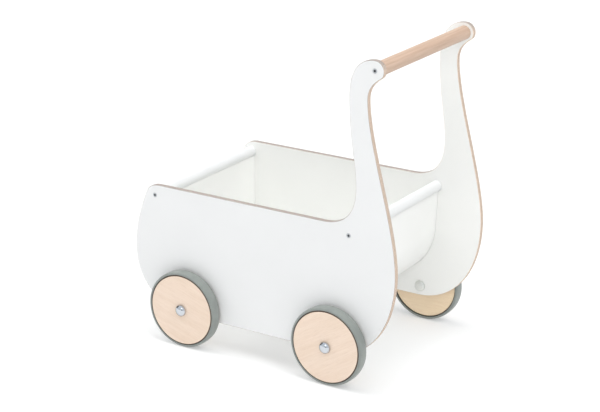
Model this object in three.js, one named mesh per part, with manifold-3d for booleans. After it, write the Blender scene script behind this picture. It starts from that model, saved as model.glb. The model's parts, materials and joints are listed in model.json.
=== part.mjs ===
// A wooden doll stroller: two lacquered plywood side panels that rise into handle posts,
// a tub bent from one thin sheet and let into grooves in the panels, two round rails,
// a dowel handle, and four rubber-tyred wooden wheels on stub axles.
//
// Frame: millimetres, +Z up, +X to the stroller's left, -Y the way it rolls.
// The origin is on the floor under the centre of the overall box.

import * as THREE from 'three';
import { mergeVertices } from 'three/addons/utils/BufferGeometryUtils.js';
import Module from 'manifold-3d';

const wasm = await Module();
wasm.setup();

// ---------------------------------------------------------------- driving dimensions

const GAP = 0.3; // clearance kept between touching pieces

const PANEL_OUTER_X = 155; // half the width over the two side panels
const PANEL_THICKNESS = 9;
const PANEL_INNER_X = PANEL_OUTER_X - PANEL_THICKNESS;

const PANEL_FRONT_Y = -261; // foremost point of a side panel
const PANEL_REAR_Y = 261; // rearmost point
const PANEL_BOTTOM_Z = 51;
const PANEL_TOP_Z = 280; // the level top edge beside the tub

const HEAD_Y = 216.5; // the round head that holds the handle
const HEAD_Z = 545;
const HEAD_RADIUS = 17;
const CHIN_ANGLE = THREE.MathUtils.degToRad(-29); // where the head's round ends, below its rear
const CHIN_EASE = 7; // length of the curve's handle as it leaves the head

// The handle posts: the front edge swells and narrows, the neck is the hollow behind the head.
const POST_FRONT_WIDE = { y: 185, z: 345 };
const POST_FRONT_NARROW = { y: 171, z: 498 };
const NECK = { y: 205, z: 497 };
const WIDEST_FRONT_Z = 157; // height of the foremost point
const WIDEST_REAR_Z = 206; // height of the rearmost point

const HANDLE_DIAMETER = 24;
const RAIL_DIAMETER = 20;
const FRONT_RAIL = { y: -218, z: 260.5 };
const REAR_RAIL = { y: 172.5, z: 263.5 };

const SHEET_THICKNESS = 6;
const SHEET_INTO_PANEL = 3.7; // how far the sheet's edges stand in the panels' grooves
const GROOVE_DEPTH = 4;
const SHEET_TOP_BELOW_RAIL_AXIS = 5;
const FLOOR_Z = 89; // middle of the sheet's thickness along the floor
const FRONT_WALL_Y = -215;
const FRONT_BEND_RADIUS = 72;
const REAR_BEND_RADIUS = 99;
const REAR_WALL_LEAN = THREE.MathUtils.degToRad(2.6); // the rear wall leans in as it goes down

const TYRE_RADIUS = 69;
const TYRE_FACETS = 36;
const AXLE_Z = TYRE_RADIUS * Math.cos(Math.PI / TYRE_FACETS); // a flat of the tyre is on the floor
const FRONT_AXLE_Y = -149;
const REAR_AXLE_Y = 144.5;

const WHEEL_INNER_X = 158.5; // the tyre's edge beside the panel
const DISC_INNER_X = 161;
const DISC_OUTER_X = 179;
const DISC_RADIUS = 64;
const TYRE_LIP_RADIUS = 62.3; // the tyre's lip laps over the disc's inner face
const TYRE_LIP_THICKNESS = 2.2;
const TYRE_OUTER_ROUNDING = 3;
const TYRE_INNER_ROUNDING = 1.5;

const AXLE_RADIUS = 4;
const BUSH_RADIUS = 6.5;
const SPACER_RADIUS = 9;
const SPACER_PAST_TYRE = 1; // the spacer keeps the tyre clear of the panel
const RUNNING_CLEARANCE = 0.4;
const CAP_RADIUS = 10.4;
const CAP_HEIGHT = 6.8;
const CAP_WALL = 1.4;
const CAP_RIM = 1; // the cap's straight edge, below its dome
const SMALL_FACETS = 16;
const BAR_FACETS = 32;
const OUTLINE_STEPS = 14; // chords along each curve of a side panel's outline
const BEND_STEPS = 12; // chords along each bend of the tub sheet

const SCREW_LENGTH = 24;
const SCREW_RADIUS = 2.5;
const SCREW_HEAD_RADIUS = 4.2;
const SCREW_HEAD_HEIGHT = 2.6;
const SOCKET_ACROSS_CORNERS = 3.6;
const SOCKET_DEPTH = 1.8;
const INSERT_RADIUS = 4;
const INSERT_LENGTH = 14;
const BORE_BEYOND_INSERT = 12; // room for the screw's end in a rail or the handle
const CUTTER_OVERRUN = 1; // how far a cutting solid stands past the face it opens

// ---------------------------------------------------------------- materials

const finish = (color, roughness, metalness = 0) => ({ color, roughness, metalness });

const WHITE_LACQUER = finish(0xeceeec, 0.35);
const HANDLE_WOOD = finish(0xd9b48f, 0.55);
const WHEEL_WOOD = finish(0xecd8c0, 0.6);
const RUBBER = finish(0x6f7671, 0.75);
const NYLON = finish(0xe4e4e0, 0.5);
const CHROME = finish(0xc9ccd0, 0.12, 1);
const DARK_STEEL = finish(0x4a4d50, 0.4, 1);
const ZINC = finish(0xa9a79c, 0.4, 1);

function piece(name, geometry, look) {
  const mesh = new THREE.Mesh(geometry, new THREE.MeshStandardMaterial(look));
  mesh.name = name;
  return mesh;
}

// ---------------------------------------------------------------- solids

// A closed mesh as a solid that can be joined and cut.
function solidOf(geometry) {
  const bare = geometry.clone();
  bare.deleteAttribute('normal');
  bare.deleteAttribute('uv');
  const merged = mergeVertices(bare, 1e-4);
  return new wasm.Manifold(new wasm.Mesh({
    numProp: 3,
    vertProperties: new Float32Array(merged.attributes.position.array),
    triVerts: new Uint32Array(merged.index.array),
  }));
}

function geometryOf(solid) {
  const mesh = solid.getMesh();
  const geometry = new THREE.BufferGeometry();
  geometry.setAttribute('position', new THREE.BufferAttribute(mesh.vertProperties, 3));
  geometry.setIndex(new THREE.BufferAttribute(mesh.triVerts, 1));
  return geometry;
}

function cut(geometry, cutters) {
  const solid = cutters.reduce((left, cutter) => left.subtract(solidOf(cutter)), solidOf(geometry));
  return geometryOf(solid);
}

const SIDE_ON = new THREE.Matrix4().makeBasis(
  new THREE.Vector3(0, 1, 0),
  new THREE.Vector3(0, 0, 1),
  new THREE.Vector3(1, 0, 0),
);

// A shape drawn in (y, z), extruded across the stroller from one x to another.
function acrossX(shape, fromX, toX) {
  const geometry = new THREE.ExtrudeGeometry(shape, {
    depth: Math.abs(toX - fromX),
    bevelEnabled: false,
    curveSegments: OUTLINE_STEPS,
  });
  return geometry.applyMatrix4(SIDE_ON).translate(Math.min(fromX, toX), 0, 0);
}

// A closed (radius, x) profile turned about the X axis, with a flat at the bottom.
function turned(profile, facets) {
  const points = profile.map(([radius, x]) => new THREE.Vector2(radius, x));
  const geometry = new THREE.LatheGeometry(points, facets, Math.PI / facets);
  return geometry.rotateZ(-Math.PI / 2);
}

function tube(innerRadius, outerRadius, fromX, toX, facets = SMALL_FACETS) {
  return turned([
    [innerRadius, fromX],
    [outerRadius, fromX],
    [outerRadius, toX],
    [innerRadius, toX],
    [innerRadius, fromX],
  ], facets);
}

function rod(radius, fromX, toX, facets = SMALL_FACETS) {
  return turned([[0, fromX], [radius, fromX], [radius, toX], [0, toX]], facets);
}

// ---------------------------------------------------------------- side panels

// The outline of a side panel, clockwise from the front end of its flat bottom edge.
function panelOutline() {
  const headTop = HEAD_Z + HEAD_RADIUS;
  const chinY = HEAD_Y + HEAD_RADIUS * Math.cos(CHIN_ANGLE);
  const chinZ = HEAD_Z + HEAD_RADIUS * Math.sin(CHIN_ANGLE);
  const easeY = chinY + CHIN_EASE * Math.sin(CHIN_ANGLE);
  const easeZ = chinZ - CHIN_EASE * Math.cos(CHIN_ANGLE);
  const wide = POST_FRONT_WIDE;
  const narrow = POST_FRONT_NARROW;

  const outline = new THREE.Shape();
  outline.moveTo(-142, PANEL_BOTTOM_Z);
  // round front corner and bulging front edge
  outline.bezierCurveTo(-217, PANEL_BOTTOM_Z, PANEL_FRONT_Y, 94, PANEL_FRONT_Y, WIDEST_FRONT_Z);
  outline.bezierCurveTo(PANEL_FRONT_Y, 191, -254, 222, -234.5, 267);
  outline.bezierCurveTo(-231.5, 274, -222, PANEL_TOP_Z, -209, PANEL_TOP_Z);
  // level top edge, sweeping up into the handle post
  outline.lineTo(123, PANEL_TOP_Z);
  outline.bezierCurveTo(172, PANEL_TOP_Z, wide.y, 312, wide.y, wide.z);
  outline.bezierCurveTo(wide.y, 391, narrow.y, 429, narrow.y, narrow.z);
  outline.bezierCurveTo(narrow.y, 548, 194, headTop, HEAD_Y, headTop);
  // round head, then the hollow of the neck
  outline.absarc(HEAD_Y, HEAD_Z, HEAD_RADIUS, Math.PI / 2, CHIN_ANGLE, true);
  outline.bezierCurveTo(easeY, easeZ, NECK.y, 524, NECK.y, NECK.z);
  // long S of the rear edge and the round rear corner
  outline.bezierCurveTo(NECK.y, 425, PANEL_REAR_Y, 287, PANEL_REAR_Y, WIDEST_REAR_Z);
  outline.bezierCurveTo(PANEL_REAR_Y, 134, 226, PANEL_BOTTOM_Z, 138, PANEL_BOTTOM_Z);
  outline.closePath();
  return outline;
}

// The tub sheet seen from the side, traced at a distance outside its middle line.
function traceSheet(offset, extraTop) {
  const rearBendZ = FLOOR_Z + REAR_BEND_RADIUS;
  const straightEndZ = rearBendZ - REAR_BEND_RADIUS * Math.sin(REAR_WALL_LEAN);
  const straightEndY = REAR_RAIL.y - (REAR_RAIL.z - straightEndZ) * Math.tan(REAR_WALL_LEAN);
  const rearBendY = straightEndY - REAR_BEND_RADIUS * Math.cos(REAR_WALL_LEAN);
  const below = SHEET_TOP_BELOW_RAIL_AXIS - extraTop;
  const rearTopY = REAR_RAIL.y - below * Math.tan(REAR_WALL_LEAN);

  const sideways = offset * Math.cos(REAR_WALL_LEAN);
  const downwards = offset * Math.sin(REAR_WALL_LEAN);

  const path = new THREE.Path();
  path.moveTo(rearTopY + sideways, REAR_RAIL.z - below - downwards);
  path.lineTo(straightEndY + sideways, straightEndZ - downwards);
  path.absarc(rearBendY, rearBendZ, REAR_BEND_RADIUS + offset, -REAR_WALL_LEAN, -Math.PI / 2, true);
  path.absarc(
    FRONT_WALL_Y + FRONT_BEND_RADIUS, FLOOR_Z + FRONT_BEND_RADIUS,
    FRONT_BEND_RADIUS + offset, -Math.PI / 2, -Math.PI, true,
  );
  path.lineTo(FRONT_WALL_Y - offset, FRONT_RAIL.z - below);
  return path.getPoints(BEND_STEPS);
}

function sheetShape(clearance) {
  const half = SHEET_THICKNESS / 2 + clearance;
  return new THREE.Shape([...traceSheet(half, clearance), ...traceSheet(-half, clearance).reverse()]);
}

const screwPlaces = {
  front_rail: FRONT_RAIL,
  rear_rail: REAR_RAIL,
  handle: { y: HEAD_Y, z: HEAD_Z },
};
const axlePlaces = { front: FRONT_AXLE_Y, rear: REAR_AXLE_Y };

// The space that a countersunk screw needs in the left panel.
function screwHoleCutter() {
  const fromX = PANEL_INNER_X - CUTTER_OVERRUN;
  const toX = PANEL_OUTER_X + CUTTER_OVERRUN;
  return turned([
    [0, fromX],
    [SCREW_RADIUS + GAP, fromX],
    [SCREW_RADIUS + GAP, PANEL_OUTER_X - SCREW_HEAD_HEIGHT - GAP],
    [SCREW_HEAD_RADIUS + GAP, PANEL_OUTER_X - GAP],
    [SCREW_HEAD_RADIUS + GAP, toX],
    [0, toX],
  ], SMALL_FACETS);
}

function onSide(geometry, side) {
  return side > 0 ? geometry : geometry.rotateZ(Math.PI);
}

function sidePanel(side) {
  const fromX = PANEL_INNER_X - CUTTER_OVERRUN;
  const toX = PANEL_OUTER_X + CUTTER_OVERRUN;
  const groove = acrossX(sheetShape(GAP), side * fromX, side * (PANEL_INNER_X + GROOVE_DEPTH));
  const screwHoles = Object.values(screwPlaces).map(({ y, z }) =>
    onSide(screwHoleCutter(), side).translate(0, y, z));
  const axleHoles = Object.values(axlePlaces).map((y) =>
    onSide(rod(AXLE_RADIUS + GAP, fromX, toX), side).translate(0, y, AXLE_Z));
  const board = acrossX(panelOutline(), side * PANEL_INNER_X, side * PANEL_OUTER_X);
  return cut(board, [groove, ...screwHoles, ...axleHoles]);
}

// ---------------------------------------------------------------- tub, rails and handle

function tubSheet() {
  const halfWidth = PANEL_INNER_X + SHEET_INTO_PANEL;
  return acrossX(sheetShape(0), -halfWidth, halfWidth);
}

// A round bar between the panels, bored at both ends for the threaded inserts.
function roundBar(radius) {
  const halfLength = PANEL_INNER_X - GAP;
  const boreEnd = halfLength - INSERT_LENGTH - BORE_BEYOND_INSERT;
  const bores = [1, -1].map((side) =>
    onSide(rod(INSERT_RADIUS + GAP, boreEnd, halfLength + CUTTER_OVERRUN), side));
  return cut(rod(radius, -halfLength, halfLength, BAR_FACETS), bores);
}

// A round rail with a slot along its underside for the top edge of the tub sheet.
function rail(place) {
  const slotCutter = acrossX(sheetShape(GAP), -PANEL_OUTER_X, PANEL_OUTER_X);
  return cut(roundBar(RAIL_DIAMETER / 2).translate(0, place.y, place.z), [slotCutter]);
}

// ---------------------------------------------------------------- screws and inserts

// A countersunk socket screw, its head flush with the left panel's outer face.
function screw() {
  const face = PANEL_OUTER_X - GAP;
  const body = turned([
    [0, face - SCREW_LENGTH],
    [SCREW_RADIUS, face - SCREW_LENGTH],
    [SCREW_RADIUS, face - SCREW_HEAD_HEIGHT],
    [SCREW_HEAD_RADIUS, face],
    [0, face],
  ], SMALL_FACETS);
  const hexagon = 6;
  const socket = rod(SOCKET_ACROSS_CORNERS / 2, face - SOCKET_DEPTH, face + CUTTER_OVERRUN, hexagon);
  return cut(body, [socket]);
}

function threadedInsert() {
  const outerEnd = PANEL_INNER_X - 2 * GAP;
  return tube(SCREW_RADIUS + GAP, INSERT_RADIUS, outerEnd - INSERT_LENGTH, outerEnd);
}

function fastening(place, side, name) {
  const group = new THREE.Group();
  group.position.set(0, place.y, place.z);
  group.rotation.z = side > 0 ? 0 : Math.PI;
  group.add(piece(`${name}_screw`, screw(), DARK_STEEL));
  group.add(piece(`${name}_insert`, threadedInsert(), ZINC));
  return group;
}

// ---------------------------------------------------------------- wheels

// A quarter round of the tyre's section, from one angle about its centre to a right angle on.
function roundedCorner(x, rounding, fromAngle) {
  const steps = 2;
  return Array.from({ length: steps + 1 }, (_, step) => {
    const angle = fromAngle + (step / steps) * (Math.PI / 2);
    return [TYRE_RADIUS - rounding + rounding * Math.cos(angle), x + rounding * Math.sin(angle)];
  });
}

function tyre() {
  const seat = DISC_RADIUS + GAP;
  const lipX = WHEEL_INNER_X + TYRE_LIP_THICKNESS;
  return turned([
    [TYRE_LIP_RADIUS, WHEEL_INNER_X],
    ...roundedCorner(WHEEL_INNER_X + TYRE_INNER_ROUNDING, TYRE_INNER_ROUNDING, -Math.PI / 2),
    ...roundedCorner(DISC_OUTER_X - TYRE_OUTER_ROUNDING, TYRE_OUTER_ROUNDING, 0),
    [seat, DISC_OUTER_X],
    [seat, lipX],
    [TYRE_LIP_RADIUS, lipX],
    [TYRE_LIP_RADIUS, WHEEL_INNER_X],
  ], TYRE_FACETS);
}

// A domed push-on cap whose open end rests at one x, with the axle's end in its bore.
function domedCap(baseX) {
  const bore = AXLE_RADIUS + GAP;
  const steps = 4;
  const dome = Array.from({ length: steps }, (_, step) => {
    const angle = (step / steps) * (Math.PI / 2);
    return [CAP_RADIUS * Math.cos(angle), baseX + CAP_RIM + (CAP_HEIGHT - CAP_RIM) * Math.sin(angle)];
  });
  return turned([
    [0, baseX + CAP_HEIGHT - CAP_WALL],
    [bore, baseX + CAP_HEIGHT - CAP_WALL],
    [bore, baseX],
    [CAP_RADIUS, baseX],
    ...dome,
    [0, baseX + CAP_HEIGHT],
  ], SMALL_FACETS);
}

// One wheel with the stub axle that it turns on, on the left of the stroller.
function wheelSet(name, side, y) {
  const capBaseX = DISC_OUTER_X + 2 * GAP;
  const innerCapBaseX = PANEL_INNER_X - GAP;
  const capReach = CAP_HEIGHT - CAP_WALL - GAP;
  const bushBore = AXLE_RADIUS + RUNNING_CLEARANCE;
  const discBore = BUSH_RADIUS + GAP;
  const spacerOuterX = WHEEL_INNER_X + SPACER_PAST_TYRE;

  const disc = tube(discBore, DISC_RADIUS, DISC_INNER_X, DISC_OUTER_X, TYRE_FACETS);
  const bush = tube(bushBore, BUSH_RADIUS, spacerOuterX + GAP, DISC_OUTER_X + GAP);
  const axle = rod(AXLE_RADIUS, innerCapBaseX - capReach, capBaseX + capReach);
  const spacer = tube(AXLE_RADIUS + GAP, SPACER_RADIUS, PANEL_OUTER_X + GAP, spacerOuterX);
  const innerCap = domedCap(-innerCapBaseX).rotateZ(Math.PI);

  const group = new THREE.Group();
  group.position.set(0, y, AXLE_Z);
  group.rotation.z = side > 0 ? 0 : Math.PI;
  group.add(
    piece(`${name}_wheel_disc`, disc, WHEEL_WOOD),
    piece(`${name}_tyre`, tyre(), RUBBER),
    piece(`${name}_bush`, bush, NYLON),
    piece(`${name}_axle`, axle, ZINC),
    piece(`${name}_spacer`, spacer, NYLON),
    piece(`${name}_outer_cap`, domedCap(capBaseX), CHROME),
    piece(`${name}_inner_cap`, innerCap, CHROME),
  );
  return group;
}

// ---------------------------------------------------------------- assembly

const stroller = new THREE.Group();
const handleBar = roundBar(HANDLE_DIAMETER / 2).translate(0, HEAD_Y, HEAD_Z);

stroller.add(
  piece('tub_sheet', tubSheet(), WHITE_LACQUER),
  piece('front_rail', rail(FRONT_RAIL), WHITE_LACQUER),
  piece('rear_rail', rail(REAR_RAIL), WHITE_LACQUER),
  piece('handle_bar', handleBar, HANDLE_WOOD),
);

for (const [sideName, side] of [['left', 1], ['right', -1]]) {
  stroller.add(piece(`side_panel_${sideName}`, sidePanel(side), WHITE_LACQUER));
  for (const [placeName, place] of Object.entries(screwPlaces)) {
    stroller.add(fastening(place, side, `${placeName}_${sideName}`));
  }
  for (const [axleName, y] of Object.entries(axlePlaces)) {
    stroller.add(wheelSet(`${axleName}_${sideName}`, side, y));
  }
}

export default stroller;
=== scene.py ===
"""The looks of a wooden doll stroller: every board, dowel, wheel and fastener as a fine mesh.

Metres, +Z up, +X to the stroller's left, -Y the way it rolls, as in the CAD frame.
"""

import json
import math

import bmesh
import bpy
from mathutils import Matrix, Vector


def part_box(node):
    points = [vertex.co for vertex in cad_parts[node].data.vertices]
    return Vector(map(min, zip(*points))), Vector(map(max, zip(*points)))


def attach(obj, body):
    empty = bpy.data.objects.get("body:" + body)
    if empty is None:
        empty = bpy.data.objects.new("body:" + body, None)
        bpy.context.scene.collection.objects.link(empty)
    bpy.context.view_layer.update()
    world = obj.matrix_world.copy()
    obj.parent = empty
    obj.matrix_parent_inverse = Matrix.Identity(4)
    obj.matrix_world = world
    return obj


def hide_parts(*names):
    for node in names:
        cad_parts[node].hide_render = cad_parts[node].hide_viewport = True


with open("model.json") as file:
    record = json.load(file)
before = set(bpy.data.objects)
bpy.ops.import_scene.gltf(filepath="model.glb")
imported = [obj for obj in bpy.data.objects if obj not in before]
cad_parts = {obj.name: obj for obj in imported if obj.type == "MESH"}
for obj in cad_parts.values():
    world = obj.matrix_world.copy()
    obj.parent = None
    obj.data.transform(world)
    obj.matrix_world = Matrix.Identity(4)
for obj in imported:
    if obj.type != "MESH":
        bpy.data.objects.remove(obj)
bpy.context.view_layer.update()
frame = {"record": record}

# ---------------------------------------------------------------- measures


def centre(node):
    low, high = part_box(node)
    return (low + high) / 2


def reach(node):
    """The node's least and greatest distance from the stroller's middle plane."""
    low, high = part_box(node)
    return sorted((abs(low.x), abs(high.x)))


FIT = 0.0003  # clearance that the CAD keeps between touching pieces

PANEL_LOW, PANEL_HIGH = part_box("side_panel_left")
PLY_COUNT = 7
PANEL_EDGE_ROUNDING = 0.0011
PANEL_FACE_FLATNESS = 0.96  # least X part of the normal on a lacquered face
CUT_EDGE_ROUNDING = 0.0004
CUTTER_OVERSHOOT = 0.001
SMALLEST_EDGE = 0.00001  # shorter edges left by a cut are closed up
SAME_POINT = 0.000001  # points of a turned piece this near each other become one
GROOVE_DEPTH = 0.004
PANEL_TOP_Z = 0.28  # the level top edge beside the tub
CHIN_ANGLE = math.radians(-29)  # where the head's round ends, below its rear
CHIN_EASE = 0.007  # length of the curve's handle as it leaves the head

SHEET_LOW, SHEET_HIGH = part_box("tub_sheet")
SHEET_THICKNESS = 0.006
SHEET_EDGE_ROUNDING = 0.0008
FRONT_BEND_RADIUS = 0.072
REAR_BEND_RADIUS = 0.099
REAR_WALL_LEAN = math.radians(2.6)

SCREW_RADIUS = 0.0025
SCREW_HEAD_RADIUS = 0.0042
SCREW_HEAD_HEIGHT = 0.0026
SCREW_ROUNDING = 0.0002
SOCKET_RADIUS = 0.0023
SOCKET_DEPTH = 0.0022
SOCKET_SIDES = 6
INSERT_RADIUS = 0.004
INSERT_ROUNDING = 0.0003
BORE_BEYOND_INSERT = 0.012
BAR_ROUNDING = 0.0005
SHARP_ANGLE = math.radians(40)

DISC_EDGE_ROUNDING = 0.0028
DISC_FACE_FLATNESS = 0.975
TYRE_LIP_HEIGHT = 0.0049
TYRE_LIP_THICKNESS = 0.0022
TREAD_CROWN = 0.0009
TREAD_SHOULDER = 0.0026
BEAD_ROUNDING = 0.0009
LIP_EDGE_ROUNDING = 0.0005
LIP_FOOT_ROUNDING = 0.0004
AXLE_RADIUS = 0.004
AXLE_ROUNDING = 0.0005
RUNNING_CLEARANCE = 0.0004
BUSH_RADIUS = 0.0065
BUSH_ROUNDING = 0.0003
SPACER_RADIUS = 0.009
SPACER_ROUNDING = 0.0004
CAP_WALL = 0.0014
CAP_RIM = 0.001
CAP_LIP = 0.0003

CURVE_STEPS = 48
DOME_STEPS = 14
ROUNDING_STEPS = 5
SHORT_CURVE_STEPS = 15
SMALL_SEGMENTS = 64
BAR_SEGMENTS = 96
WHEEL_SEGMENTS = 160

SIDES = (("left", 1), ("right", -1))
ENDS = ("front", "rear")
SCREWED = ("front_rail", "rear_rail", "handle")
WHEELS = [f"{end}_{side}" for end in ENDS for side, _ in SIDES]

# ---------------------------------------------------------------- node materials


def add(tree, kind, inputs=None, **settings):
    """A shader node with its settings and its inputs, which are values or other nodes' outputs."""
    node = tree.nodes.new(kind)
    for name, value in settings.items():
        setattr(node, name, value)
    for name, value in (inputs or {}).items():
        if isinstance(value, bpy.types.NodeSocket):
            tree.links.new(value, node.inputs[name])
        else:
            node.inputs[name].default_value = value
    return node


def new_material(name, **sockets):
    """A Principled material with the named sockets set, each written with _ for a space."""
    material = bpy.data.materials.new(name)
    material.use_nodes = True
    tree = material.node_tree
    shader = next(n for n in tree.nodes if n.type == "BSDF_PRINCIPLED")
    for socket, value in sockets.items():
        shader.inputs[socket.replace("_", " ")].default_value = value
    return material, tree, shader


def coordinates(tree, scale=(1, 1, 1), turn=(0, 0, 0)):
    """Object coordinates in metres, turned and stretched."""
    place = add(tree, "ShaderNodeTexCoord")
    turned_place = add(tree, "ShaderNodeMapping", {"Vector": place.outputs["Object"], "Rotation": turn})
    stretched = add(tree, "ShaderNodeMapping", {"Vector": turned_place.outputs["Vector"], "Scale": scale})
    return stretched.outputs["Vector"]


def noise(tree, vector, scale, detail=2.0, roughness=0.5, distortion=0.0):
    inputs = {
        "Vector": vector, "Scale": scale, "Detail": detail, "Roughness": roughness, "Distortion": distortion,
    }
    return add(tree, "ShaderNodeTexNoise", inputs).outputs["Fac"]


def ramp(tree, fac, stops):
    """A colour ramp with the stops (position, colour)."""
    node = add(tree, "ShaderNodeValToRGB", {"Fac": fac})
    elements = node.color_ramp.elements
    while len(elements) < len(stops):
        elements.new(0.5)
    for element, (position, colour) in zip(elements, stops):
        element.position = position
        element.color = (*colour, 1)
    return node.outputs["Color"]


def to_range(tree, fac, low, high):
    """A value between 0 and 1 spread from low to high."""
    inputs = {"Value": fac, "To Min": low, "To Max": high}
    return add(tree, "ShaderNodeMapRange", inputs).outputs["Result"]


def blend_colours(tree, mode, fac, first, second):
    """Two colours blended. The Mix node repeats its socket names, so they go by their index."""
    node = add(tree, "ShaderNodeMix", data_type="RGBA", blend_type=mode)
    for index, value in ((0, fac), (6, first), (7, second)):
        if isinstance(value, bpy.types.NodeSocket):
            tree.links.new(value, node.inputs[index])
        else:
            node.inputs[index].default_value = value
    return node.outputs[2]


def bump(tree, shader, height, distance, strength=1.0):
    node = add(tree, "ShaderNodeBump", {"Height": height, "Distance": distance, "Strength": strength})
    tree.links.new(node.outputs["Normal"], shader.inputs["Normal"])


def white_lacquer(name, pale, shaded, grain):
    """Sprayed satin lacquer over plywood: an even white, faint clouds, and a trace of the veneer's grain."""
    material, tree, shader = new_material(name, Coat_Weight=0.15, Coat_Roughness=0.2)
    place = coordinates(tree)
    clouds = noise(tree, place, 9, detail=3)
    tree.links.new(ramp(tree, clouds, [(0.35, shaded), (0.65, pale)]), shader.inputs["Base Color"])
    rough = to_range(tree, noise(tree, place, 60, detail=4), 0.36, 0.5)
    tree.links.new(rough, shader.inputs["Roughness"])
    spray = noise(tree, place, 900, detail=1)
    veneer = noise(tree, coordinates(tree, grain), 500, detail=5, roughness=0.6)
    height = add(tree, "ShaderNodeMath", {0: veneer, 1: 0.7, 2: spray}, operation="MULTIPLY_ADD")
    bump(tree, shader, height.outputs["Value"], 0.00002, 0.5)
    return material


def plywood_edge(name):
    """The board's sanded edge: light and dark plies with thin glue lines, and painted shade that greys and
    cools it where it faces up.
    """
    material, tree, shader = new_material(name)
    place = add(tree, "ShaderNodeTexCoord").outputs["Object"]
    across = add(tree, "ShaderNodeSeparateXYZ", {"Vector": place}).outputs["X"]
    distance = add(tree, "ShaderNodeMath", {0: across}, operation="ABSOLUTE").outputs["Value"]
    wander = noise(tree, coordinates(tree, (0.2, 1, 1)), 55, detail=4)
    shifted = add(tree, "ShaderNodeMath", {0: wander, 1: 0.0005, 2: distance}, operation="MULTIPLY_ADD")
    depth = add(
        tree, "ShaderNodeMapRange",
        {"Value": shifted.outputs["Value"], "From Min": PANEL_LOW.x, "From Max": PANEL_HIGH.x,
         "To Min": 0.0, "To Max": PLY_COUNT / 2},
    ).outputs["Result"]
    pair = add(tree, "ShaderNodeMath", {0: depth}, operation="FRACT").outputs["Value"]
    light = (0.83, 0.69, 0.585)
    dark = (0.53, 0.40, 0.305)
    glue = (0.17, 0.11, 0.075)
    plies = ramp(tree, pair, [
        (0.0, glue), (0.05, light), (0.45, light), (0.49, glue), (0.54, dark), (0.95, dark), (1.0, glue),
    ])
    fibres = noise(tree, coordinates(tree, (6, 1, 1)), 420, detail=4, roughness=0.65)
    speckle = ramp(tree, fibres, [(0.3, (0.72, 0.70, 0.68)), (0.62, (1.08, 1.06, 1.04))])
    clean = blend_colours(tree, "MULTIPLY", 1.0, plies, speckle)
    facing = add(tree, "ShaderNodeNewGeometry").outputs["Normal"]
    upward = add(tree, "ShaderNodeSeparateXYZ", {"Vector": facing}).outputs["Z"]
    # Painted shade: the up-facing edges are greyed and cooled by their normal.
    painted_top_shade = ramp(tree, upward, [(0.1, (1.0, 1.0, 1.0)), (0.8, (0.60, 0.66, 0.74))])
    tree.links.new(blend_colours(tree, "MULTIPLY", 1.0, clean, painted_top_shade), shader.inputs["Base Color"])
    tree.links.new(to_range(tree, fibres, 0.5, 0.75), shader.inputs["Roughness"])
    bump(tree, shader, blend_colours(tree, "MIX", 0.6, plies, fibres), 0.00012)
    return material


def wood(name, pale, deep, stretch, turn=(0, 0, 0), figure=0.35, figure_scale=35.2):
    """Clear-lacquered wood: fine fibres, short pores and a soft figure along one stretched direction."""
    material, tree, shader = new_material(name, Coat_Weight=0.08, Coat_Roughness=0.3)
    along = coordinates(tree, stretch, turn)
    fibres = noise(tree, along, 1100, detail=5, roughness=0.7)
    streaks = noise(tree, along, 260, detail=3, distortion=0.4)
    rings = add(
        tree, "ShaderNodeTexWave",
        {"Vector": along, "Scale": figure_scale, "Distortion": 7.0, "Detail": 2.0, "Detail Scale": 1.4},
        wave_type="BANDS", bands_direction="Y",
    ).outputs["Fac"]
    tone = add(tree, "ShaderNodeMath", {0: rings, 1: figure, 2: streaks}, operation="MULTIPLY_ADD")
    colour = ramp(tree, tone.outputs["Value"], [(0.3, pale), (1.0, deep)])
    fleck = ramp(tree, fibres, [(0.34, (0.86, 0.83, 0.80)), (0.5, (1.0, 1.0, 1.0))])
    tree.links.new(blend_colours(tree, "MULTIPLY", 0.55, colour, fleck), shader.inputs["Base Color"])
    tree.links.new(to_range(tree, streaks, 0.42, 0.58), shader.inputs["Roughness"])
    bump(tree, shader, fibres, 0.00004, 0.6)
    return material


def rubber(name):
    """Moulded grey rubber, a little lighter where dust and wear touch it."""
    material, tree, shader = new_material(name, Specular_IOR_Level=0.55)
    place = coordinates(tree)
    clouds = noise(tree, place, 45, detail=5, roughness=0.6)
    colour = ramp(tree, clouds, [(0.3, (0.215, 0.236, 0.222)), (0.7, (0.265, 0.288, 0.27))])
    tree.links.new(colour, shader.inputs["Base Color"])
    tree.links.new(to_range(tree, clouds, 0.3, 0.42), shader.inputs["Roughness"])
    bump(tree, shader, noise(tree, place, 1500, detail=2), 0.00002, 0.6)
    return material


def metal(name, colour, smooth, coarse, streak=(1, 1, 1), edge=(1, 1, 1)):
    """Plated steel with fine polishing marks, a roughness that varies a little and an edge tint, which on
    the chrome is a painted reflection.
    """
    material, tree, shader = new_material(name, Metallic=1.0, Specular_Tint=(*edge, 1))
    marks = noise(tree, coordinates(tree, streak), 700, detail=4, roughness=0.6)
    darker = tuple(0.88 * c for c in colour)
    tree.links.new(ramp(tree, marks, [(0.3, darker), (0.6, colour)]), shader.inputs["Base Color"])
    tree.links.new(to_range(tree, marks, smooth, coarse), shader.inputs["Roughness"])
    bump(tree, shader, marks, 0.000006, 0.4)
    return material


def nylon(name):
    """Moulded white nylon that lets a little light in."""
    material, tree, shader = new_material(name, Subsurface_Weight=0.05)
    place = coordinates(tree)
    clouds = noise(tree, place, 180, detail=3)
    colour = ramp(tree, clouds, [(0.3, (0.74, 0.74, 0.70)), (0.7, (0.80, 0.80, 0.77))])
    tree.links.new(colour, shader.inputs["Base Color"])
    tree.links.new(to_range(tree, clouds, 0.4, 0.55), shader.inputs["Roughness"])
    bump(tree, shader, noise(tree, place, 2500), 0.00001, 0.5)
    return material


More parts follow.
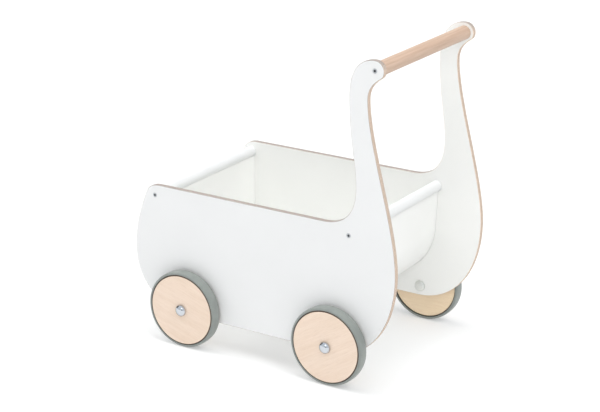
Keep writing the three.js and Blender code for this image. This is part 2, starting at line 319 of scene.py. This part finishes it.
UPRIGHT_GRAIN = (1, 1, 0.04)
CROSSWISE_GRAIN = (0.04, 1, 1)
OUTSIDE_LACQUER = white_lacquer("panel_lacquer", (0.83, 0.838, 0.84), (0.815, 0.823, 0.825), UPRIGHT_GRAIN)
# Painted light: the same lacquer, brighter and warmer, for the tub and the panels' inner faces, where less
# light reaches.
INSIDE_LACQUER_PAINTED_LIGHT = white_lacquer("tub_lacquer_painted_light", (0.89, 0.895, 0.875), (0.875, 0.88, 0.86), CROSSWISE_GRAIN)
# Painted shade: a greyer copy of the white lacquer for the rails, whose tops the overhead light brightens.
RAIL_LACQUER_PAINTED_SHADE = white_lacquer(
    "rail_lacquer_painted_shade", (0.765, 0.775, 0.775), (0.745, 0.755, 0.755), CROSSWISE_GRAIN,
)
PLY_EDGE = plywood_edge("plywood_edge")
# The disc's rim: dark end grain, darkened much further as painted shade in the groove between disc and tyre.
DISC_RIM_WITH_GAP_SHADE = wood("disc_rim_with_gap_shade", (0.12, 0.075, 0.045), (0.07, 0.043, 0.026), (1, 0.3, 0.3))
HANDLE_WOOD = wood(
    "handle_wood", (0.6, 0.435, 0.325), (0.475, 0.32, 0.23), (0.05, 1, 1), figure=0.3, figure_scale=66,
)
DISC_GRAIN = (1, 0.05, 1)
WHEEL_WOOD = {}
for wheel, grain_angle in zip(WHEELS, (18, 75, -32, 96)):
    grain_turn = (math.radians(grain_angle), 0, 0)
    WHEEL_WOOD[wheel] = wood(
        f"{wheel}_wood", (0.875, 0.715, 0.59), (0.80, 0.63, 0.495), DISC_GRAIN, grain_turn, figure=0.2,
    )
# Painted light: a brighter, yellower copy of the wheel wood for the discs' backs, which lie in shade.
WHEEL_BACK_PAINTED_LIGHT = wood("wheel_back_painted_light", (0.97, 0.79, 0.565), (0.9, 0.705, 0.48), DISC_GRAIN, figure=0.2)
RUBBER = rubber("tyre_rubber")
NYLON = nylon("nylon")
# Painted reflection: the warm, dark edge tint darkens the caps' rims as if they mirrored wood in shade.
CHROME = metal("chrome", (0.60, 0.63, 0.67), 0.04, 0.10, edge=(0.45, 0.42, 0.38))
SATIN_NICKEL = metal("satin_nickel", (0.80, 0.81, 0.78), 0.45, 0.55)
SCREW_STEEL = metal("screw_steel", (0.54, 0.56, 0.58), 0.3, 0.45, (0.1, 1, 1))
# Painted shade: near-black steel for the inside of the screws' sockets.
SOCKET_PAINTED_SHADE = metal("socket_painted_shade", (0.12, 0.124, 0.13), 0.5, 0.65)
ZINC_STEEL = metal("zinc_steel", (0.55, 0.54, 0.49), 0.3, 0.45, (0.1, 1, 1))

# ---------------------------------------------------------------- meshes


def bezier(start, first, second, end, steps=CURVE_STEPS):
    """Points after the start, to the end, of a cubic curve."""
    points = []
    for step in range(1, steps + 1):
        t = step / steps
        s = 1 - t
        points.append(tuple(
            s**3 * a + 3 * s * s * t * b + 3 * s * t * t * c + t**3 * d
            for a, b, c, d in zip(start, first, second, end)
        ))
    return points


def arc(middle, radius, from_angle, to_angle, steps=CURVE_STEPS):
    """Points of an arc, both ends included."""
    angles = [from_angle + (to_angle - from_angle) * step / steps for step in range(steps + 1)]
    return [(middle[0] + radius * math.cos(a), middle[1] + radius * math.sin(a)) for a in angles]


def rounded(corners):
    """A closed profile with its corners (x, radius, rounding) rounded."""
    points = []
    for index, (x, radius, rounding) in enumerate(corners):
        corner = Vector((x, radius))
        if not rounding:
            points.append(corner)
            continue
        neighbours = [Vector(corners[(index + way) % len(corners)][:2]) for way in (-1, 1)]
        start, end = [corner + (other - corner).normalized() * rounding for other in neighbours]
        for step in range(ROUNDING_STEPS + 1):
            t = step / ROUNDING_STEPS
            points.append((1 - t) ** 2 * start + 2 * t * (1 - t) * corner + t * t * end)
    return points


def turned(profile, segments=SMALL_SEGMENTS):
    """A mesh of a closed (x, radius) profile turned about the X axis."""
    bm = bmesh.new()
    verts = [bm.verts.new((x, 0, radius)) for x, radius in profile]
    pairs = zip(verts, verts[1:] + verts[:1])
    edges = [bm.edges.new(pair) for pair in pairs if pair[0].co.z or pair[1].co.z]
    bmesh.ops.spin(
        bm, geom=verts + edges, cent=(0, 0, 0), axis=(1, 0, 0), angle=math.tau, steps=segments,
        use_merge=True,
    )
    bmesh.ops.remove_doubles(bm, verts=bm.verts, dist=SAME_POINT)
    return finished_mesh(bm)


def hole(radius, from_x, to_x, segments=SMALL_SEGMENTS):
    """A cylinder to be cut away."""
    return turned([(from_x, 0), (from_x, radius), (to_x, radius), (to_x, 0)], segments)


def extruded(outline, from_x, to_x):
    """A mesh of a (y, z) outline drawn across the stroller."""
    bm = bmesh.new()
    near = [bm.verts.new((from_x, y, z)) for y, z in outline]
    far = [bm.verts.new((to_x, y, z)) for y, z in outline]
    for loop in (near, far):
        bm.faces.new(loop)
    for index, vert in enumerate(near):
        following = (index + 1) % len(near)
        bm.faces.new((vert, near[following], far[following], far[index]))
    return finished_mesh(bm)


def rectangle(width, height):
    """A flat sheet about the origin, facing up."""
    bm = bmesh.new()
    corners = ((-1, -1), (1, -1), (1, 1), (-1, 1))
    bm.faces.new([bm.verts.new((x * width / 2, y * height / 2, 0)) for x, y in corners])
    return finished_mesh(bm)


def finished_mesh(bm):
    """The bmesh as a mesh with its faces turned outward."""
    bmesh.ops.recalc_face_normals(bm, faces=bm.faces)
    mesh = bpy.data.meshes.new("mesh")
    bm.to_mesh(mesh)
    bm.free()
    return mesh


def placed(mesh, side, spot):
    """The mesh moved to the spot's y and z, and turned about Z for the right side."""
    turn = Matrix.Rotation(0 if side > 0 else math.pi, 4, "Z")
    mesh.transform(Matrix.Translation((0, spot.y, spot.z)) @ turn)
    return mesh


def new_object(name, mesh, *materials):
    obj = bpy.data.objects.new(name, mesh)
    bpy.context.scene.collection.objects.link(obj)
    for material in materials:
        mesh.materials.append(material)
    return obj


def settle(obj):
    """Makes the object's modifiers part of its mesh."""
    mesh = bpy.data.meshes.new_from_object(obj.evaluated_get(bpy.context.evaluated_depsgraph_get()))
    obj.modifiers.clear()
    obj.data = mesh


def round_edges(obj, width, segments=3):
    """Rounds every edge between faces that meet at more than the sharp angle."""
    edges = obj.modifiers.new("edges", "BEVEL")
    edges.width = width
    edges.segments = segments
    edges.limit_method = "ANGLE"
    edges.angle_limit = SHARP_ANGLE
    settle(obj)


def cut(obj, cutters):
    """Takes the cutters out of the object and clears away the slivers that this leaves."""
    for mesh in cutters:
        cutter = new_object("cutter", mesh, *obj.data.materials)
        opening = obj.modifiers.new("opening", "BOOLEAN")
        opening.operation = "DIFFERENCE"
        opening.solver = "EXACT"
        opening.object = cutter
        settle(obj)
        bpy.data.objects.remove(cutter)
    bm = bmesh.new()
    bm.from_mesh(obj.data)
    bmesh.ops.remove_doubles(bm, verts=bm.verts, dist=SMALLEST_EDGE)
    bmesh.ops.dissolve_degenerate(bm, edges=bm.edges, dist=SMALLEST_EDGE)
    bm.to_mesh(obj.data)
    bm.free()


def shade(obj):
    """Smooth shading that keeps flat faces flat up to their rounded edges."""
    obj.data.shade_smooth()
    weights = obj.modifiers.new("weights", "WEIGHTED_NORMAL")
    weights.weight = 100
    settle(obj)


BODY_OF_NODE = {
    node: body for body, nodes in frame["record"]["behaviour"]["bodies"].items() for node in nodes
}


def keep(obj, node):
    """The finished piece takes the CAD node's place on its body."""
    shade(obj)
    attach(obj, BODY_OF_NODE[node])
    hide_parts(node)


def face_index(polygon, side, flatness):
    """0 on the face turned away from the stroller's middle, 2 on the one turned to it, 1 between them."""
    outward = polygon.normal.x * side
    if outward > flatness:
        return 0
    return 2 if outward < -flatness else 1


def colour_faces(obj, side, flatness):
    """Gives the outer face, the edge and the inner face the object's three materials, in that order."""
    for polygon in obj.data.polygons:
        polygon.material_index = face_index(polygon, side, flatness)


# ---------------------------------------------------------------- outlines


def panel_outline():
    """The side panel in (y, z), clockwise from the front end of its flat bottom edge."""
    front, bottom = PANEL_LOW.y, PANEL_LOW.z
    rear, head_top = PANEL_HIGH.y, PANEL_HIGH.z
    top = PANEL_TOP_Z
    head = centre("handle_left_screw")
    head_radius = head_top - head.z
    head_arc = arc((head.y, head.z), head_radius, math.pi / 2, CHIN_ANGLE)
    along_chin = Vector((math.sin(CHIN_ANGLE), -math.cos(CHIN_ANGLE))) * CHIN_EASE
    chin_handle = Vector(head_arc[-1]) + along_chin

    points = [(-0.142, bottom)]
    points += bezier(points[-1], (-0.217, bottom), (front, 0.094), (front, 0.157))
    points += bezier(points[-1], (front, 0.191), (-0.254, 0.222), (-0.2345, 0.267))
    points += bezier(points[-1], (-0.2315, 0.274), (-0.222, top), (-0.209, top), SHORT_CURVE_STEPS)
    points.append((0.123, top))
    points += bezier(points[-1], (0.172, top), (0.185, 0.312), (0.185, 0.345))
    points += bezier(points[-1], (0.185, 0.391), (0.171, 0.429), (0.171, 0.498))
    points += bezier(points[-1], (0.171, 0.548), (0.194, head_top), (head.y, head_top))
    points += head_arc[1:]
    points += bezier(points[-1], chin_handle, (0.205, 0.524), (0.205, 0.497), SHORT_CURVE_STEPS)
    points += bezier(points[-1], (0.205, 0.425), (rear, 0.287), (rear, 0.206))
    points += bezier(points[-1], (rear, 0.134), (0.226, bottom), (0.138, bottom))
    return points


def sheet_line(offset, extra_top=0.0):
    """A line in (y, z) at an offset outside the tub sheet's middle, from the rear rail to the front one."""
    front_rail = centre("front_rail_left_screw")
    rear_rail = centre("rear_rail_left_screw")
    floor_z = SHEET_LOW.z + SHEET_THICKNESS / 2
    front_wall_y = SHEET_LOW.y + SHEET_THICKNESS / 2
    rear_bend_z = floor_z + REAR_BEND_RADIUS
    straight_end_z = rear_bend_z - REAR_BEND_RADIUS * math.sin(REAR_WALL_LEAN)
    straight_end_y = rear_rail.y - (rear_rail.z - straight_end_z) * math.tan(REAR_WALL_LEAN)
    rear_bend_y = straight_end_y - REAR_BEND_RADIUS * math.cos(REAR_WALL_LEAN)
    below = max(front_rail.z, rear_rail.z) - SHEET_HIGH.z - extra_top
    out_y = offset * math.cos(REAR_WALL_LEAN)
    down_z = offset * math.sin(REAR_WALL_LEAN)

    top_y = rear_rail.y - below * math.tan(REAR_WALL_LEAN)
    points = [(top_y + out_y, rear_rail.z - below - down_z)]
    points += arc((rear_bend_y, rear_bend_z), REAR_BEND_RADIUS + offset, -REAR_WALL_LEAN, -math.pi / 2)
    front_middle = (front_wall_y + FRONT_BEND_RADIUS, floor_z + FRONT_BEND_RADIUS)
    points += arc(front_middle, FRONT_BEND_RADIUS + offset, -math.pi / 2, -math.pi)
    points.append((front_wall_y - offset, front_rail.z - below))
    return points


def sheet_section(clearance):
    """The tub sheet's section in (y, z), with a clearance added to its faces and its ends."""
    half = SHEET_THICKNESS / 2 + clearance
    return sheet_line(half, clearance) + sheet_line(-half, clearance)[::-1]


# ---------------------------------------------------------------- body boards


def screw_hole():
    """What is cut away for a countersunk screw, from inside the panel to past its outer face."""
    start = PANEL_LOW.x - CUTTER_OVERSHOOT
    face = PANEL_HIGH.x
    end = face + CUTTER_OVERSHOOT
    return turned([
        (start, 0), (start, SCREW_RADIUS + FIT), (face - SCREW_HEAD_HEIGHT - FIT, SCREW_RADIUS + FIT),
        (face - FIT, SCREW_HEAD_RADIUS + FIT), (end, SCREW_HEAD_RADIUS + FIT), (end, 0),
    ])


def make_side_panel(side_name, side):
    """A board with lacquered faces, a groove for the tub sheet, and holes for screws and axles."""
    inner, outer = PANEL_LOW.x, PANEL_HIGH.x
    # The inner face takes the brighter, warmer lacquer: painted light.
    board = new_object(
        f"side_panel_{side_name}_board", extruded(panel_outline(), side * inner, side * outer),
        OUTSIDE_LACQUER, PLY_EDGE, INSIDE_LACQUER_PAINTED_LIGHT,
    )
    round_edges(board, PANEL_EDGE_ROUNDING, segments=5)
    colour_faces(board, side, PANEL_FACE_FLATNESS)
    start, end = inner - CUTTER_OVERSHOOT, outer + CUTTER_OVERSHOOT
    cutters = [extruded(sheet_section(FIT), side * start, side * (inner + GROOVE_DEPTH))]
    for name in SCREWED:
        cutters.append(placed(screw_hole(), side, centre(f"{name}_{side_name}_screw")))
    for name in ENDS:
        cutters.append(placed(hole(AXLE_RADIUS + FIT, start, end), side, centre(f"{name}_{side_name}_axle")))
    cut(board, cutters)
    round_edges(board, CUT_EDGE_ROUNDING, segments=2)
    keep(board, f"side_panel_{side_name}")


def make_tub_sheet():
    """The bent board that is the front wall, the floor and the rear wall."""
    mesh = extruded(sheet_section(0), SHEET_LOW.x, SHEET_HIGH.x)
    # The sheet takes the brighter, warmer lacquer: painted light.
    sheet = new_object("tub_sheet_board", mesh, INSIDE_LACQUER_PAINTED_LIGHT)
    round_edges(sheet, SHEET_EDGE_ROUNDING)
    keep(sheet, "tub_sheet")


def make_bar(node, name, material, slotted):
    """A round bar between the panels, bored at both ends for the threaded inserts."""
    half = reach(node)[1]
    spot = centre(f"{name}_left_screw")
    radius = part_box(node)[1].z - spot.z
    insert_start, insert_end = reach(f"{name}_left_insert")
    bore_start = half - (insert_end - insert_start + BORE_BEYOND_INSERT)
    profile = rounded([
        (-half, 0, 0), (-half, radius, BAR_ROUNDING), (half, radius, BAR_ROUNDING), (half, 0, 0),
    ])
    bar = new_object(f"{node}_bar", placed(turned(profile, BAR_SEGMENTS), 1, spot), material)
    cutters = []
    for _, side in SIDES:
        cutters.append(placed(hole(INSERT_RADIUS + FIT, bore_start, half + CUTTER_OVERSHOOT), side, spot))
    if slotted:
        cutters.append(extruded(sheet_section(FIT), -PANEL_HIGH.x, PANEL_HIGH.x))
    cut(bar, cutters)
    keep(bar, node)


# ---------------------------------------------------------------- fasteners and wheels


def make_screw(name, side_name, side):
    """A countersunk screw with a hexagon socket in its head."""
    node = f"{name}_{side_name}_screw"
    tip, face = reach(node)
    spot = centre(node)
    profile = rounded([
        (tip, 0, 0), (tip, SCREW_RADIUS, 2 * SCREW_ROUNDING),
        (face - SCREW_HEAD_HEIGHT, SCREW_RADIUS, SCREW_ROUNDING),
        (face, SCREW_HEAD_RADIUS, SCREW_ROUNDING), (face, 0, 0),
    ])
    screw = new_object(f"{node}_steel", placed(turned(profile), side, spot), SCREW_STEEL, SOCKET_PAINTED_SHADE)
    socket = hole(SOCKET_RADIUS, face - SOCKET_DEPTH, face + CUTTER_OVERSHOOT, SOCKET_SIDES)
    # The socket's faces take the near-black steel: painted shade in the recess.
    for polygon in socket.polygons:
        polygon.material_index = 1
    cut(screw, [placed(socket, side, spot)])
    round_edges(screw, SCREW_ROUNDING, segments=2)
    keep(screw, node)


def make_turned(node, suffix, side, profile, material, segments=SMALL_SEGMENTS):
    """A turned piece on its node's own axis."""
    mesh = placed(turned(profile, segments), side, centre(node))
    piece = new_object(f"{node}_{suffix}", mesh, material)
    keep(piece, node)
    return piece


def ring(inner_radius, outer_radius, from_x, to_x, rounding):
    """The section of a ring with its four corners rounded."""
    return rounded([
        (from_x, inner_radius, rounding), (from_x, outer_radius, rounding),
        (to_x, outer_radius, rounding), (to_x, inner_radius, rounding),
    ])


def dome(base_x, height, radius):
    """A push-on cap: a shallow dome on a short rim, rolled in at its open end, with a blind bore."""
    bore = AXLE_RADIUS + FIT
    crown = [
        (base_x + CAP_RIM + (height - CAP_RIM) * math.sin(a), radius * math.cos(a))
        for a in (math.pi / 2 * step / DOME_STEPS for step in range(DOME_STEPS))
    ]
    return [
        (base_x + height - CAP_WALL, 0), (base_x + height - CAP_WALL, bore), (base_x, bore),
        (base_x, radius - CAP_LIP), (base_x + CAP_LIP, radius), *crown, (base_x + height, 0),
    ]


def tyre_profile(wheel_radius, disc_radius, inner_x, outer_x):
    """The tyre's section: rounded tread corners, a slight crown, and a lip behind the disc."""
    seat = disc_radius + FIT
    lip_radius = wheel_radius - TYRE_LIP_HEIGHT
    lip_x = inner_x + TYRE_LIP_THICKNESS
    middle_x = (inner_x + outer_x) / 2
    shoulder = wheel_radius - TREAD_CROWN
    crown = wheel_radius + TREAD_CROWN / 2
    crown_rounding = (outer_x - inner_x) / 2 - TREAD_SHOULDER
    return rounded([
        (inner_x, lip_radius, LIP_EDGE_ROUNDING),
        (inner_x, shoulder, TREAD_SHOULDER),
        (middle_x, crown, crown_rounding),
        (outer_x, shoulder, TREAD_SHOULDER),
        (outer_x, seat, BEAD_ROUNDING),
        (lip_x, seat, 0),
        (lip_x, lip_radius, LIP_FOOT_ROUNDING),
    ])


def make_disc_and_tyre(wheel, side):
    """The wheel's disc, with a wood for its face, a dark rim of end grain and painted groove shade, a
    brighter copy of the wood as painted light on its shaded back, and the tyre round it.
    """
    wheel_radius = centre(f"{wheel}_tyre").z
    disc_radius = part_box(f"{wheel}_wheel_disc")[1].z - wheel_radius
    profile = ring(BUSH_RADIUS + FIT, disc_radius, *reach(f"{wheel}_wheel_disc"), DISC_EDGE_ROUNDING)
    disc = make_turned(
        f"{wheel}_wheel_disc", "wood", side, profile, WHEEL_WOOD[wheel], WHEEL_SEGMENTS,
    )
    disc.data.materials.append(DISC_RIM_WITH_GAP_SHADE)
    disc.data.materials.append(WHEEL_BACK_PAINTED_LIGHT)
    colour_faces(disc, side, DISC_FACE_FLATNESS)
    tyre = tyre_profile(wheel_radius, disc_radius, *reach(f"{wheel}_tyre"))
    make_turned(f"{wheel}_tyre", "rubber", side, tyre, RUBBER, WHEEL_SEGMENTS)


def make_axle_pieces(wheel, side):
    """The bush in the disc, the spacer beside the panel, and the stub axle."""
    bush = ring(AXLE_RADIUS + RUNNING_CLEARANCE, BUSH_RADIUS, *reach(f"{wheel}_bush"), BUSH_ROUNDING)
    make_turned(f"{wheel}_bush", "nylon", side, bush, NYLON)
    spacer = ring(AXLE_RADIUS + FIT, SPACER_RADIUS, *reach(f"{wheel}_spacer"), SPACER_ROUNDING)
    make_turned(f"{wheel}_spacer", "nylon", side, spacer, NYLON)
    start, end = reach(f"{wheel}_axle")
    axle = rounded([
        (start, 0, 0), (start, AXLE_RADIUS, AXLE_ROUNDING), (end, AXLE_RADIUS, AXLE_ROUNDING), (end, 0, 0),
    ])
    make_turned(f"{wheel}_axle", "steel", side, axle, ZINC_STEEL)


def make_caps(wheel, side):
    """The axle's two caps: chrome outside the wheel, dull nickel on the panel's inner face."""
    low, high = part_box(f"{wheel}_outer_cap")
    radius = (high.y - low.y) / 2
    base, top = reach(f"{wheel}_outer_cap")
    outer_dome = dome(base, top - base, radius)
    make_turned(f"{wheel}_outer_cap", "dome", side, outer_dome, CHROME)
    top, base = reach(f"{wheel}_inner_cap")
    inner_dome = [(-x, distance) for x, distance in dome(-base, base - top, radius)]
    make_turned(f"{wheel}_inner_cap", "dome", side, inner_dome, SATIN_NICKEL)


def make_insert(name, side_name, side):
    """The threaded insert in the end of a rail or of the handle."""
    node = f"{name}_{side_name}_insert"
    profile = ring(SCREW_RADIUS + FIT, INSERT_RADIUS, *reach(node), INSERT_ROUNDING)
    make_turned(node, "steel", side, profile, ZINC_STEEL)


make_tub_sheet()
for rail in ("front_rail", "rear_rail"):
    make_bar(rail, rail, RAIL_LACQUER_PAINTED_SHADE, slotted=True)
make_bar("handle_bar", "handle", HANDLE_WOOD, slotted=False)
for side_name, side in SIDES:
    make_side_panel(side_name, side)
    for name in SCREWED:
        make_screw(name, side_name, side)
        make_insert(name, side_name, side)
    for end in ENDS:
        wheel = f"{end}_{side_name}"
        make_disc_and_tyre(wheel, side)
        make_axle_pieces(wheel, side)
        make_caps(wheel, side)

# ---------------------------------------------------------------- studio

FLOOR_SIZE = 24.0
ROOM_RADIUS = 9.0

scene = bpy.context.scene
scene.view_settings.view_transform = "Standard"


def make_floor():
    """A wide sheet of white paper that glows a little, more so away from the stroller."""
    material, tree, shader = new_material(
        "floor_paper", Roughness=0.9, Specular_IOR_Level=0.1, Emission_Color=(1, 1, 1, 1),
    )
    place = coordinates(tree)
    distance = add(tree, "ShaderNodeVectorMath", {0: place}, operation="LENGTH").outputs["Value"]
    glow = add(tree, "ShaderNodeMapRange", {
        "Value": distance, "From Min": 1.0, "From Max": 3.5, "To Min": 0.34, "To Max": 0.5,
    }).outputs["Result"]
    tree.links.new(glow, shader.inputs["Emission Strength"])
    mottle = noise(tree, place, 3, detail=2)
    tint = ramp(tree, mottle, [(0.3, (0.595, 0.6, 0.6)), (0.7, (0.605, 0.61, 0.61))])
    tree.links.new(tint, shader.inputs["Base Color"])
    floor = new_object("floor", rectangle(FLOOR_SIZE, FLOOR_SIZE), material)


def aim(obj, location, target, roll=0.0):
    """Puts the object at the location with its -Z axis towards the target."""
    back = (Vector(location) - Vector(target)).normalized()
    turn = back.to_track_quat("Z", "Y").to_matrix().to_4x4()
    obj.matrix_world = Matrix.Translation(location) @ turn @ Matrix.Rotation(roll, 4, "Z")


def add_light(name, location, width, power, in_reflections=False):
    """A square softbox aimed at the stroller's middle."""
    data = bpy.data.lights.new(name, "AREA")
    data.size = width
    data.energy = power
    light = bpy.data.objects.new(name, data)
    light.visible_camera = False
    light.visible_glossy = in_reflections
    scene.collection.objects.link(light)
    aim(light, location, (0, 0, 0.2))


def glowing(name, strength):
    """A surface that gives a cool, even light of its own and reflects none."""
    black = (0, 0, 0, 1)
    cool = (0.9, 0.95, 1.0, 1)
    material, _, _ = new_material(
        name, Base_Color=black, Specular_IOR_Level=0.0, Emission_Color=cool, Emission_Strength=strength,
    )
    return material


def reflected_only(obj):
    """Hides the object from everything but glossy rays."""
    for ray in ("camera", "diffuse", "transmission", "volume_scatter", "shadow"):
        setattr(obj, f"visible_{ray}", False)


def add_pale_room():
    """A pale dome round the studio that only reflections see."""
    bm = bmesh.new()
    bmesh.ops.create_icosphere(bm, subdivisions=4, radius=ROOM_RADIUS)
    reflected_only(new_object("pale_room", finished_mesh(bm), glowing("pale_room", 0.9)))


def add_dark_card(name, location, width, height):
    """A black card that only reflections see."""
    card = new_object(name, rectangle(width, height), glowing(name, 0.0))
    aim(card, location, (0, 0, 0.1))
    reflected_only(card)


make_floor()
world = bpy.data.worlds.new("studio")
world.use_nodes = True
background = next(n for n in world.node_tree.nodes if n.type == "BACKGROUND")
background.inputs["Color"].default_value = (0.98, 0.985, 1.0, 1)
background.inputs["Strength"].default_value = 0.256
scene.world = world
add_light("overhead", (0.5, -0.6, 4.2), width=4.2, power=92)
add_light("top_softbox", (0, 0, 4.6), width=1.4, power=25)
add_light("rear_softbox", (1.0, 3.2, 4.2), width=2.2, power=108)
add_light("front_softbox", (0.6, -4.2, 2.6), width=2.1, power=94)
add_light("camera_softbox", (3.4, 2.3, 1.9), width=2.0, power=21)
add_light("near_softbox", (4.2, 0.65, 2.56), width=1.4, power=23, in_reflections=True)
add_light("far_softbox", (-3.5, 3.2, 1.1), width=1.9, power=22, in_reflections=True)
add_light("far_fill", (-4.4, -0.6, 2.0), width=2.0, power=42)
add_pale_room()
add_dark_card("front_card", (-0.15, -4.0, 1.7), 5.0, 3.2)
add_dark_card("side_card", (5.0, 0.65, 0.55), 2.2, 0.9)

CAMERA_PLACE = Vector((2.4748, 1.5529, 1.2615))
CAMERA_AZIMUTH = math.radians(122.42)
CAMERA_ELEVATION = math.radians(19.34)
CAMERA_ROLL = math.radians(0.13)

camera_data = bpy.data.cameras.new("camera")
camera_data.lens = 106.65
camera_data.sensor_width = 36
camera_data.clip_end = 50
camera = bpy.data.objects.new("camera", camera_data)
scene.collection.objects.link(camera)
camera_back = Vector((
    math.sin(CAMERA_AZIMUTH) * math.cos(CAMERA_ELEVATION),
    -math.cos(CAMERA_AZIMUTH) * math.cos(CAMERA_ELEVATION),
    math.sin(CAMERA_ELEVATION),
))
aim(camera, CAMERA_PLACE, CAMERA_PLACE - camera_back, CAMERA_ROLL)
scene.camera = camera
